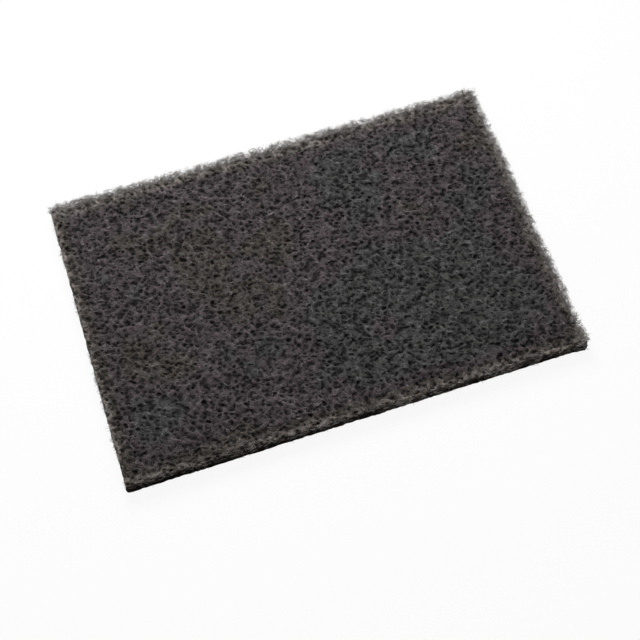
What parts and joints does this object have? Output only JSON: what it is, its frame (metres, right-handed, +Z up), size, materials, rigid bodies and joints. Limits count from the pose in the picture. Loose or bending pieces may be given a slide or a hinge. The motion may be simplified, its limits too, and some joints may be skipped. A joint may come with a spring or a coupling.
{
  "type": "abrasive hand pad",
  "caption": "Flat rectangular pad of bonded non-woven fibre web with abrasive grain, held in the hand to scour, clean or dull a surface.",
  "frame": {"origin": "under the middle of the pad, on the plane that it lies on", "axes": "+X along the pad's length, +Y to its back edge, +Z up through its thickness"},
  "size_m": [0.2286, 0.1524, 0.0095],
  "materials": {
    "bonded_web": "dull dark grey non-woven nylon fibre, bonded with resin and fine abrasive grain"
  },
  "bodies": {
    "root": {"web_pad": "bonded_web"}
  },
  "joints": []
}
